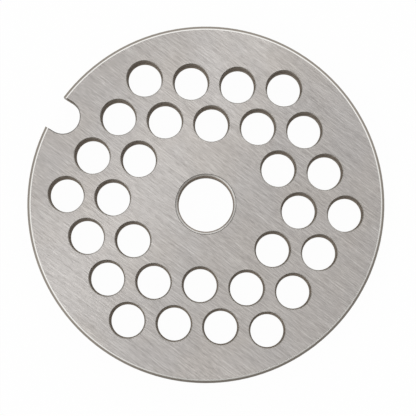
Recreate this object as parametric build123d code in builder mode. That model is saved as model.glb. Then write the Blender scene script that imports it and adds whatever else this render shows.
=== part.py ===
from build123d import *
from math import cos, hypot, radians, sin, sqrt
import os

os.makedirs("parts", exist_ok=True)

# Meat grinder plate: one flat steel disc, turned round, drilled through with a triangular
# pattern of grinding holes and ground flat on both faces. Millimetres. The origin is the
# centre of the bore on the lower face, +Z is up through the plate and the rows of holes
# run along X.

# The turned disc
outside_diameter = 62.0
thickness = 5.0
rim_chamfer = 0.6

# The bore that carries the end stud of the feed screw
bore_diameter = 9.5
bore_chamfer = 0.55

# The grinding holes. The knife sweeps the lower face and shears the meat on the sharp edge of
# each hole's lip. Above the lip the hole is relieved, so that the meat can't jam in it. The
# land is the steel between two relieved holes.
hole_diameter = 5.75
hole_relief = 0.5
cutting_lip_height = 0.6
hole_edge_break = 0.12
land_between_holes = 1.85

# A point of the pattern is left undrilled where less steel than this would stay beside the hole
least_land_at_bore = 4.0
least_land_at_rim = 3.0
least_land_at_notch = 1.5

# The notch in the rim that a pin in the grinder's body locks into: a straight slot with a
# round end, cut in from the rim. Its direction is turned from the rows of holes.
notch_width = 6.0
notch_depth = 4.8
notch_direction = 152.5
notch_edge_break = 0.14

rim_radius = outside_diameter / 2
bore_radius = bore_diameter / 2
hole_radius = hole_diameter / 2
relieved_radius = hole_radius + hole_relief / 2
notch_radius = notch_width / 2
notch_centre_distance = rim_radius - notch_depth + notch_radius
notch_centre_x = notch_centre_distance * cos(radians(notch_direction))
notch_centre_y = notch_centre_distance * sin(radians(notch_direction))


def hole_centres():
    """Centres of the grinding holes on the lower face, row by row."""
    pitch = 2 * relieved_radius + land_between_holes
    row_spacing = pitch * sqrt(3) / 2
    rows = int(rim_radius / row_spacing)
    columns = int(outside_diameter / pitch)
    nearest_to_bore = bore_radius + least_land_at_bore + relieved_radius
    nearest_to_notch = notch_radius + least_land_at_notch + relieved_radius
    farthest_out = rim_radius - least_land_at_rim - relieved_radius
    centres = []
    for row in range(-rows, rows + 1):
        for column in range(-columns, columns + 1):
            x = (column + row / 2) * pitch
            y = row * row_spacing
            between_bore_and_rim = nearest_to_bore <= hypot(x, y) <= farthest_out
            clear_of_notch = hypot(x - notch_centre_x, y - notch_centre_y) >= nearest_to_notch
            if between_bore_and_rim and clear_of_notch:
                centres.append((x, y))
    return centres


with BuildPart() as grinder_plate:
    # Turned blank, with the same chamfer round both rim edges
    Cylinder(rim_radius, thickness, align=(Align.CENTER, Align.CENTER, Align.MIN))
    chamfer(grinder_plate.edges().filter_by(GeomType.CIRCLE), rim_chamfer)

    # Notch, cut through from the rim. Its edges are broken on both faces: on each face they
    # are all but the longest edge, which is the rim's.
    with BuildSketch() as notch_outline:
        with PolarLocations(notch_centre_distance, 1, start_angle=notch_direction):
            Circle(notch_radius)
            Rectangle(notch_depth, notch_width, align=(Align.MIN, Align.CENTER))
    extrude(amount=thickness, mode=Mode.SUBTRACT)
    for face_height in (0, thickness):
        face_edges = grinder_plate.edges().filter_by_position(Axis.Z, face_height, face_height)
        notch_edges = face_edges.sort_by(SortBy.LENGTH)[:-1]
        chamfer(notch_edges, notch_edge_break)

    # Bore, chamfered at both ends
    with Locations((0, 0, thickness)):
        Hole(bore_radius)
    chamfer(grinder_plate.edges(Select.LAST).filter_by(GeomType.CIRCLE), bore_chamfer)

    # Grinding holes: each opens out over its lip, then runs straight up to a broken edge
    with Locations(*hole_centres()):
        Cone(
            hole_radius,
            relieved_radius,
            cutting_lip_height,
            align=(Align.CENTER, Align.CENTER, Align.MIN),
            mode=Mode.SUBTRACT,
        )
        with Locations((0, 0, cutting_lip_height)):
            Cylinder(
                relieved_radius,
                thickness - cutting_lip_height,
                align=(Align.CENTER, Align.CENTER, Align.MIN),
                mode=Mode.SUBTRACT,
            )
    hole_edges = grinder_plate.edges(Select.LAST).filter_by(GeomType.CIRCLE)
    chamfer(hole_edges.group_by(Axis.Z)[-1], hole_edge_break)

grinder_plate.part.label = "grinder_plate"
export_step(grinder_plate.part, "parts/grinder_plate.step")
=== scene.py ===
from math import cos, pi, radians, sin

import bpy
import bmesh
from mathutils import Matrix, Vector


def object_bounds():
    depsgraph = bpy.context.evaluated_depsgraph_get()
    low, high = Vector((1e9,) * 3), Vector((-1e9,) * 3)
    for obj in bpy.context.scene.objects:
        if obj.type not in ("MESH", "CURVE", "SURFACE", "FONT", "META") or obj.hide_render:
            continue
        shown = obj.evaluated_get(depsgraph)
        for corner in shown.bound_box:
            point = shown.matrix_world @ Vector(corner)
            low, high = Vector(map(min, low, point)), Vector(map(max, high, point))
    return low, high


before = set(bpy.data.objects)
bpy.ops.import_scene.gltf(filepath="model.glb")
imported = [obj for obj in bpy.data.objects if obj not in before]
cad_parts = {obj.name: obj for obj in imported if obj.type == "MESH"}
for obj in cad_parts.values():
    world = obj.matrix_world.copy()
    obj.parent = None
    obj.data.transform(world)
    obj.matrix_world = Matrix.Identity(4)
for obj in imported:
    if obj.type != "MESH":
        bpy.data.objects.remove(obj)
cad_low, cad_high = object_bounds()

# ---------------------------------------------------------------------------------------
# The plate: one disc of stainless steel, turned from bar, drilled, notched and then ground
# flat on both faces. It is a single piece, so each of its finishes is a region of one
# material, found by which way the surface faces and by its place on the plate.

# Places and lengths on the plate, in millimetres
MM_PER_METRE = 1000
RIM_RADIUS = cad_high.x * MM_PER_METRE
RIM_CHAMFER = 0.6
# Where the painted shade along the rim chamfer's outer edge starts and is full
RIM_EDGE_SHADE_FROM = RIM_RADIUS - 0.44
RIM_EDGE_SHADE_FULL = RIM_RADIUS - 0.35
BORE_CHAMFER_END = 5.3
# Where the painted shade on the bore chamfer's inner band starts and is full
BORE_SHADE_BAND_FROM = 4.98
BORE_SHADE_BAND_FULL = 4.90
# Where the painted line of shade at the bore chamfer's outer edge starts and is full
BORE_SHADE_LINE_FROM = 5.2
BORE_SHADE_LINE_FULL = 5.23
NOTCH_DIRECTION = radians(152.5)
NOTCH_DISTANCE = 29.2
NOTCH_CORNER = 3.8
LIP_HEIGHT = 0.6
# The height where the painted shade on the holes' walls starts
DEPTH_SHADE_TOP = 3.0
SLACK = 0.02

# The least that each kind of surface faces up or down. A ground face does so by 1, a chamfer by
# 0.7, a hole's lip by 0.4 and a wall not at all.
FACE_FACING = 0.9
CHAMFER_FACING = 0.5
LIP_FACING = 0.2

# The lay of the grinding, and its layers of scratches: each has its scratches' length and width
# in millimetres, their turn from the lay in degrees, and its share. Then come the sizes and
# shares of the other marks, the depth of them all being in metres.
GRAIN_ANGLE = radians(-33)
SCRATCH_LAYERS = (
    (1.1, 0.15, 0, 0.40),
    (1.8, 0.18, 6, 0.25),
    (1.8, 0.18, -6, 0.25),
    (9.0, 0.30, 1, 0.30),
    (14.0, 1.20, -2, 0.20),
)
SINGLE_SCRATCH = (6.0, 0.14, 1.0)
SINGLE_SHARE = 0.28
FILM_PER_MM = 0.12
FILM_SHARE = 0.4
FEED_RING = (5.0, 5.0, 0.5)
# How dark the painted shade on the holes' walls is at their lips
DEPTH_SHADE_SHARE = 0.6
MARK_DEPTH = 2e-6

# Finishes: the faces gleam, the bored and drilled walls are dull with a film of grease
FACE_ROUGHNESS = 0.26
BORE_CHAMFER_ROUGHNESS = 0.28
CHAMFER_ROUGHNESS = 0.2
WALL_ROUGHNESS = 0.65
WALL_METALLIC = 0.4

COLOUR_MIX = {"data_type": "RGBA"}
COLOUR_MULTIPLY = {"data_type": "RGBA", "blend_type": "MULTIPLY"}


def linear(hex_colour):
    """An sRGB hex colour as linear RGBA."""
    channels = [int(hex_colour[i:i + 2], 16) / 255 for i in (0, 2, 4)]
    return [c / 12.92 if c <= 0.04045 else ((c + 0.055) / 1.055) ** 2.4 for c in channels] + [1]


def add_node(tree, kind, settings=None, **inputs):
    """Adds a node with its settings. Each input, named or numbered as _0, gets a value or a link."""
    node = tree.nodes.new(kind)
    for name, value in (settings or {}).items():
        setattr(node, name, value)
    for name, value in inputs.items():
        socket = node.inputs[int(name[1:]) if name[0] == "_" else name.replace("_", " ")]
        if isinstance(value, bpy.types.NodeSocket):
            tree.links.new(value, socket)
        else:
            socket.default_value = value
    return node


# Surface-ground stainless steel: a soft silvery gleam, drawn out into bands across a fine
# straight lay, with turned chamfers that shine and drilled walls that don't
plate_steel = bpy.data.materials.new("surface_ground_stainless_steel")
plate_steel.use_nodes = True
tree = plate_steel.node_tree
tree.nodes.clear()

# Where a point is on the plate, in millimetres
place = add_node(tree, "ShaderNodeTexCoord").outputs["Object"]
place = add_node(tree, "ShaderNodeVectorMath", {"operation": "SCALE"}, _0=place,
                 Scale=MM_PER_METRE).outputs[0]
in_plan = add_node(tree, "ShaderNodeVectorMath", {"operation": "MULTIPLY"}, _0=place,
                   _1=(1, 1, 0)).outputs[0]
radius = add_node(tree, "ShaderNodeVectorMath", {"operation": "LENGTH"}, _0=in_plan).outputs["Value"]
notch_centre = Matrix.Rotation(NOTCH_DIRECTION, 3, "Z") @ Vector((NOTCH_DISTANCE, 0, 0))
from_notch = add_node(tree, "ShaderNodeVectorMath", {"operation": "DISTANCE"}, _0=in_plan,
                      _1=notch_centre).outputs["Value"]
height = add_node(tree, "ShaderNodeSeparateXYZ", _0=place).outputs["Z"]

# Which kind of surface it is, by which way it faces
normal = add_node(tree, "ShaderNodeNewGeometry").outputs["Normal"]
facing = add_node(tree, "ShaderNodeSeparateXYZ", _0=normal).outputs["Z"]
facing = add_node(tree, "ShaderNodeMath", {"operation": "ABSOLUTE"}, _0=facing).outputs[0]
is_face, is_chamfer, is_lip = [
    add_node(tree, "ShaderNodeMath", {"operation": "GREATER_THAN"}, _0=facing, _1=least).outputs[0]
    for least in (FACE_FACING, CHAMFER_FACING, LIP_FACING)
]

# Which feature it belongs to, by its place
is_bore = add_node(tree, "ShaderNodeMath", {"operation": "LESS_THAN"}, _0=radius,
                   _1=BORE_CHAMFER_END + SLACK).outputs[0]
is_rim = add_node(tree, "ShaderNodeMath", {"operation": "GREATER_THAN"}, _0=radius,
                  _1=RIM_RADIUS - RIM_CHAMFER - SLACK).outputs[0]
is_notch = add_node(tree, "ShaderNodeMath", {"operation": "LESS_THAN"}, _0=from_notch,
                    _1=NOTCH_CORNER).outputs[0]

# The ground faces: the wheel leaves fine scratches, nearly straight and parallel. Real ones are
# a few hundredths of a millimetre wide, too fine to show, so these are as coarse as the groups
# of them that do.
grind = 0.0
for length, width, turned, share in SCRATCH_LAYERS:
    lay = add_node(tree, "ShaderNodeMapping", {"vector_type": "TEXTURE"}, Vector=place,
                   Rotation=(0, 0, GRAIN_ANGLE + radians(turned)), Scale=(length, width, 1.0))
    scratches = add_node(tree, "ShaderNodeTexNoise", Vector=lay.outputs[0], Scale=1.0, Detail=0.0)
    grind = add_node(tree, "ShaderNodeMath", {"operation": "MULTIPLY_ADD"},
                     _0=scratches.outputs["Fac"], _1=share, _2=grind).outputs[0]
grind = add_node(tree, "ShaderNodeMapRange", Value=grind, From_Min=0.4, From_Max=1.0).outputs[0]
face_colour = add_node(tree, "ShaderNodeMix", COLOUR_MIX, _0=grind, _6=linear("9C9895"),
                       _7=linear("C8C4C1")).outputs[2]
# A few coarser grains of the wheel leave long single scratches that catch the light
lay = add_node(tree, "ShaderNodeMapping", {"vector_type": "TEXTURE"}, Vector=place,
               Rotation=(0, 0, GRAIN_ANGLE), Scale=SINGLE_SCRATCH)
single = add_node(tree, "ShaderNodeTexNoise", Vector=lay.outputs[0], Scale=1.0, Detail=0.0).outputs["Fac"]
single = add_node(tree, "ShaderNodeMapRange", Value=single, From_Min=0.64, From_Max=0.74,
                  To_Max=SINGLE_SHARE).outputs[0]
face_colour = add_node(tree, "ShaderNodeMix", COLOUR_MIX, _0=single, _6=face_colour,
                       _7=linear("E6E4E0")).outputs[2]
# A faint film of old fat warms the steel in patches about a centimetre wide
film = add_node(tree, "ShaderNodeTexNoise", Vector=place, Scale=FILM_PER_MM, Detail=2.0).outputs["Fac"]
film = add_node(tree, "ShaderNodeMapRange", Value=film, From_Min=0.4, From_Max=0.7,
                To_Max=FILM_SHARE).outputs[0]
face_colour = add_node(tree, "ShaderNodeMix", COLOUR_MULTIPLY, _0=film, _6=face_colour,
                       _7=linear("FFFBF5")).outputs[2]

# The turned and drilled walls: rings of feed marks, browned by use in the holes and the bore. Their dark
# shades are partly painted shade, for the shadowed floor that the walls would mirror. Real rings are a
# tenth or two of a millimetre apart, too fine to show, so these are coarser.
lay = add_node(tree, "ShaderNodeMapping", {"vector_type": "TEXTURE"}, Vector=place, Scale=FEED_RING)
feed = add_node(tree, "ShaderNodeTexNoise", Vector=lay.outputs[0], Scale=1.0, Detail=2.0).outputs["Fac"]
hole_colour = add_node(tree, "ShaderNodeMix", COLOUR_MIX, _0=feed, _6=linear("5A4E42"),
                       _7=linear("ACA092")).outputs[2]
bore_colour = add_node(tree, "ShaderNodeMix", COLOUR_MIX, _0=feed, _6=linear("5A5046"),
                       _7=linear("A4988C")).outputs[2]
rim_colour = add_node(tree, "ShaderNodeMix", COLOUR_MIX, _0=feed, _6=linear("86807A"),
                      _7=linear("ACA69E")).outputs[2]
# Painted shade: the lower part of each hole's wall darkens down to its lip, as shade deep in the hole
painted_depth_shade = add_node(tree, "ShaderNodeMapRange", Value=height, From_Min=DEPTH_SHADE_TOP, From_Max=LIP_HEIGHT,
                 To_Max=DEPTH_SHADE_SHARE).outputs[0]
wall_colour = add_node(tree, "ShaderNodeMix", COLOUR_MIX, _0=painted_depth_shade, _6=hole_colour,
                       _7=linear("3C322A")).outputs[2]
for region, region_colour in ((is_lip, linear("A09486")), (is_bore, bore_colour), (is_rim, rim_colour)):
    wall_colour = add_node(tree, "ShaderNodeMix", COLOUR_MIX, _0=region, _6=wall_colour,
                           _7=region_colour).outputs[2]

# The turned chamfers: bright, with painted shade as a dull brown band where the bore's starts and where
# the rim's ends, and as a dark line where the bore's meets the face. The notch's filed edge is dark.
bore_shade_band = add_node(tree, "ShaderNodeMapRange", Value=radius, From_Min=BORE_SHADE_BAND_FROM,
                     From_Max=BORE_SHADE_BAND_FULL).outputs[0]
# Painted shade: a dark line round the bore chamfer where it meets the face
bore_shade_line = add_node(tree, "ShaderNodeMapRange", Value=radius, From_Min=BORE_SHADE_LINE_FROM,
                     From_Max=BORE_SHADE_LINE_FULL).outputs[0]
# Painted shade: a dull brown band along the rim chamfer's outer edge
rim_edge_shade = add_node(tree, "ShaderNodeMapRange", Value=radius, From_Min=RIM_EDGE_SHADE_FROM,
                    From_Max=RIM_EDGE_SHADE_FULL).outputs[0]
bore_chamfer = add_node(tree, "ShaderNodeMix", COLOUR_MIX, _0=bore_shade_band, _6=linear("F8F6F2"),
                        _7=linear("A89C90")).outputs[2]
bore_chamfer = add_node(tree, "ShaderNodeMix", COLOUR_MIX, _0=bore_shade_line, _6=bore_chamfer,
                        _7=linear("544E48")).outputs[2]
rim_chamfer = add_node(tree, "ShaderNodeMix", COLOUR_MIX, _0=rim_edge_shade, _6=linear("FCFAF6"),
                       _7=linear("989188")).outputs[2]
chamfer_colour = add_node(tree, "ShaderNodeMix", COLOUR_MIX, _0=is_notch, _6=linear("D0CCC6"),
                          _7=linear("6E6A64")).outputs[2]
for region, region_colour in ((is_bore, bore_chamfer), (is_rim, rim_chamfer)):
    chamfer_colour = add_node(tree, "ShaderNodeMix", COLOUR_MIX, _0=region, _6=chamfer_colour,
                              _7=region_colour).outputs[2]

# The regions together
colour = add_node(tree, "ShaderNodeMix", COLOUR_MIX, _0=is_chamfer, _6=wall_colour,
                  _7=chamfer_colour).outputs[2]
colour = add_node(tree, "ShaderNodeMix", COLOUR_MIX, _0=is_face, _6=colour,
                  _7=face_colour).outputs[2]
metallic = add_node(tree, "ShaderNodeMix", _0=is_chamfer, _2=WALL_METALLIC, _3=1.0).outputs[0]
roughness = add_node(tree, "ShaderNodeMix", _0=is_bore, _2=CHAMFER_ROUGHNESS,
                     _3=BORE_CHAMFER_ROUGHNESS).outputs[0]
roughness = add_node(tree, "ShaderNodeMix", _0=is_chamfer, _2=WALL_ROUGHNESS, _3=roughness).outputs[0]
roughness = add_node(tree, "ShaderNodeMix", _0=is_face, _2=roughness, _3=FACE_ROUGHNESS).outputs[0]

# Scratches and feed marks both spread a highlight across themselves
marks = add_node(tree, "ShaderNodeMix", _0=is_face, _2=feed, _3=grind).outputs[0]
relief = add_node(tree, "ShaderNodeBump", Strength=1.0, Distance=MARK_DEPTH, Height=marks).outputs[0]
across_rings = (0, 0, 1)
across_lay = (-sin(GRAIN_ANGLE), cos(GRAIN_ANGLE), 0)
across_marks = add_node(tree, "ShaderNodeMix", {"data_type": "VECTOR"}, _0=is_face, _4=across_rings,
                        _5=across_lay).outputs[1]
shader = add_node(tree, "ShaderNodeBsdfPrincipled", Base_Color=colour, Metallic=metallic,
                  Roughness=roughness, Anisotropic=1.0, Tangent=across_marks, Normal=relief)
add_node(tree, "ShaderNodeOutputMaterial", Surface=shader.outputs[0])
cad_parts["grinder_plate"].material_slots[0].material = plate_steel

# ---------------------------------------------------------------------------------------
# The floor: a plain flat board, painted white, that the plate lies on. It shows as white to the
# camera and in the metal, and its diffuse share keeps the plate's soft shadow.

FLOOR_HALF_SIZE = 2.0
SHOWN_WHITE = 0.975

bm = bmesh.new()
bmesh.ops.create_grid(bm, x_segments=1, y_segments=1, size=FLOOR_HALF_SIZE)
floor_mesh = bpy.data.meshes.new("floor")
bm.to_mesh(floor_mesh)
bm.free()
floor = bpy.data.objects.new("floor", floor_mesh)
bpy.context.scene.collection.objects.link(floor)

# Matt white paint: even and without gloss, so that only the plate's shadow marks it
floor_paint = bpy.data.materials.new("matt_white_paint")
floor_paint.use_nodes = True
tree = floor_paint.node_tree
tree.nodes.clear()
ray = add_node(tree, "ShaderNodeLightPath").outputs
shown = add_node(tree, "ShaderNodeMath", {"operation": "ADD"}, _0=ray["Is Camera Ray"],
                 _1=ray["Is Glossy Ray"]).outputs[0]
shown = add_node(tree, "ShaderNodeMath", {"operation": "ADD", "use_clamp": True}, _0=shown,
                 _1=ray["Is Transmission Ray"]).outputs[0]
shown = add_node(tree, "ShaderNodeMath", {"operation": "MULTIPLY"}, _0=shown,
                 _1=SHOWN_WHITE).outputs[0]
matt = add_node(tree, "ShaderNodeBsdfDiffuse", Color=linear("F4F4F2")).outputs[0]
white = add_node(tree, "ShaderNodeEmission", Strength=1.0).outputs[0]
surface = add_node(tree, "ShaderNodeMixShader", _0=shown, _1=matt, _2=white).outputs[0]
add_node(tree, "ShaderNodeOutputMaterial", Surface=surface)
floor_mesh.materials.append(floor_paint)

# ---------------------------------------------------------------------------------------
# The camera: nearly straight above the plate, rolled a few degrees, and close enough that the
# walls of the outer holes show. ACROSS and UPWARD are the view's right and up on the plate. It
# aims at a point that many millimetres from the plate's middle.

ROLL = radians(4.02)
LEAN = 0.0511
DISTANCE = 0.5637
PIXELS = 416
FOCAL_PIXELS = 3250
SENSOR = 36
AIM_ACROSS = 0.376
AIM_UPWARD = -0.663

ACROSS = Vector((cos(ROLL), sin(ROLL), 0))
UPWARD = Vector((-sin(ROLL), cos(ROLL), 0))
back = (Vector((0, 0, 1)) - UPWARD * LEAN).normalized()
right = (ACROSS - back * ACROSS.dot(back)).normalized()
up = back.cross(right)
aim = Vector((0, 0, cad_high.z)) + (ACROSS * AIM_ACROSS + UPWARD * AIM_UPWARD) / MM_PER_METRE
camera_data = bpy.data.cameras.new("camera")
camera_data.sensor_width = SENSOR
camera_data.lens = SENSOR * FOCAL_PIXELS / PIXELS
camera = bpy.data.objects.new("camera", camera_data)
turned_so = Matrix((right, up, back)).transposed().to_4x4()
camera.matrix_world = Matrix.Translation(aim + back * DISTANCE) @ turned_so
bpy.context.scene.collection.objects.link(camera)
bpy.context.scene.camera = camera

# ---------------------------------------------------------------------------------------
# The studio's walls: pale grey above and white near the floor, but dark near the floor towards
# the view's lower right, which gives the chamfers a dark side.

DARK_SIDE = (ACROSS * 0.5 - UPWARD * 0.87).normalized()

world = bpy.data.worlds.new("studio")
bpy.context.scene.world = world
world.use_nodes = True
tree = world.node_tree
direction = add_node(tree, "ShaderNodeTexCoord").outputs["Generated"]
toward_dark = add_node(tree, "ShaderNodeVectorMath", {"operation": "DOT_PRODUCT"}, _0=direction,
                       _1=DARK_SIDE).outputs["Value"]
toward_dark = add_node(tree, "ShaderNodeMapRange", Value=toward_dark, From_Min=0.1,
                       From_Max=0.8).outputs[0]
rise = add_node(tree, "ShaderNodeSeparateXYZ", _0=direction).outputs["Z"]
rise = add_node(tree, "ShaderNodeMapRange", Value=rise, From_Min=0.15, From_Max=0.34).outputs[0]
bright_wall = add_node(tree, "ShaderNodeMix", COLOUR_MIX, _0=rise, _6=linear("F4F4F4"),
                       _7=linear("C4C4C4")).outputs[2]
dark_wall = add_node(tree, "ShaderNodeMix", COLOUR_MIX, _0=rise, _6=linear("24211E"),
                     _7=linear("ACA8A4")).outputs[2]
walls = add_node(tree, "ShaderNodeMix", COLOUR_MIX, _0=toward_dark, _6=bright_wall,
                 _7=dark_wall).outputs[2]
tree.links.new(walls, tree.nodes["Background"].inputs["Color"])

# ---------------------------------------------------------------------------------------
# The lamps: three large soft ones over the plate, and two strips that lie across the grain and
# show in the ground face as broad soft bands.

# Each soft lamp's name, middle, width and depth in metres, and radiance, where 1 is white
SOFT_LAMPS = (
    ("overhead", Vector((0, 0.05, 0.9)), (1.4, 1.4), 0.06),
    ("left", ACROSS * -0.5 + UPWARD * -0.4 + Vector((0, 0, 0.9)), (1.0, 1.0), 1.0),
    ("top", UPWARD * 0.75 + Vector((0, 0, 0.75)), (1.2, 0.8), 0.7),
)
# Each strip's name, place along the grain, width in metres and radiance
STRIPS = (
    ("main_strip", -0.054, 0.026, 0.86),
    ("second_strip", 0.024, 0.02, 0.26),
)
STRIP_ACROSS = 0.036
STRIP_HEIGHT = 0.8
STRIP_LENGTH = 1.2


def add_lamp(name, centre, turned_so, size, radiance):
    """A rectangular lamp with its middle, its turn, and its width and length in metres."""
    lamp_data = bpy.data.lights.new(name, "AREA")
    lamp_data.shape = "RECTANGLE"
    lamp_data.size, lamp_data.size_y = size
    lamp_data.energy = radiance * pi * size[0] * size[1]
    lamp = bpy.data.objects.new(name, lamp_data)
    lamp.matrix_world = Matrix.Translation(centre) @ turned_so
    bpy.context.scene.collection.objects.link(lamp)


for name, centre, size, radiance in SOFT_LAMPS:
    toward_plate = centre.to_track_quat("Z", "Y").to_matrix().to_4x4()
    add_lamp(name, centre, toward_plate, size, radiance)
for name, along, width, radiance in STRIPS:
    across_grain = Matrix.Rotation(GRAIN_ANGLE, 4, "Z")
    centre = across_grain @ Vector((along, STRIP_ACROSS, STRIP_HEIGHT))
    add_lamp(name, centre, across_grain, (width, STRIP_LENGTH), radiance)

bpy.context.scene.view_settings.view_transform = "Standard"
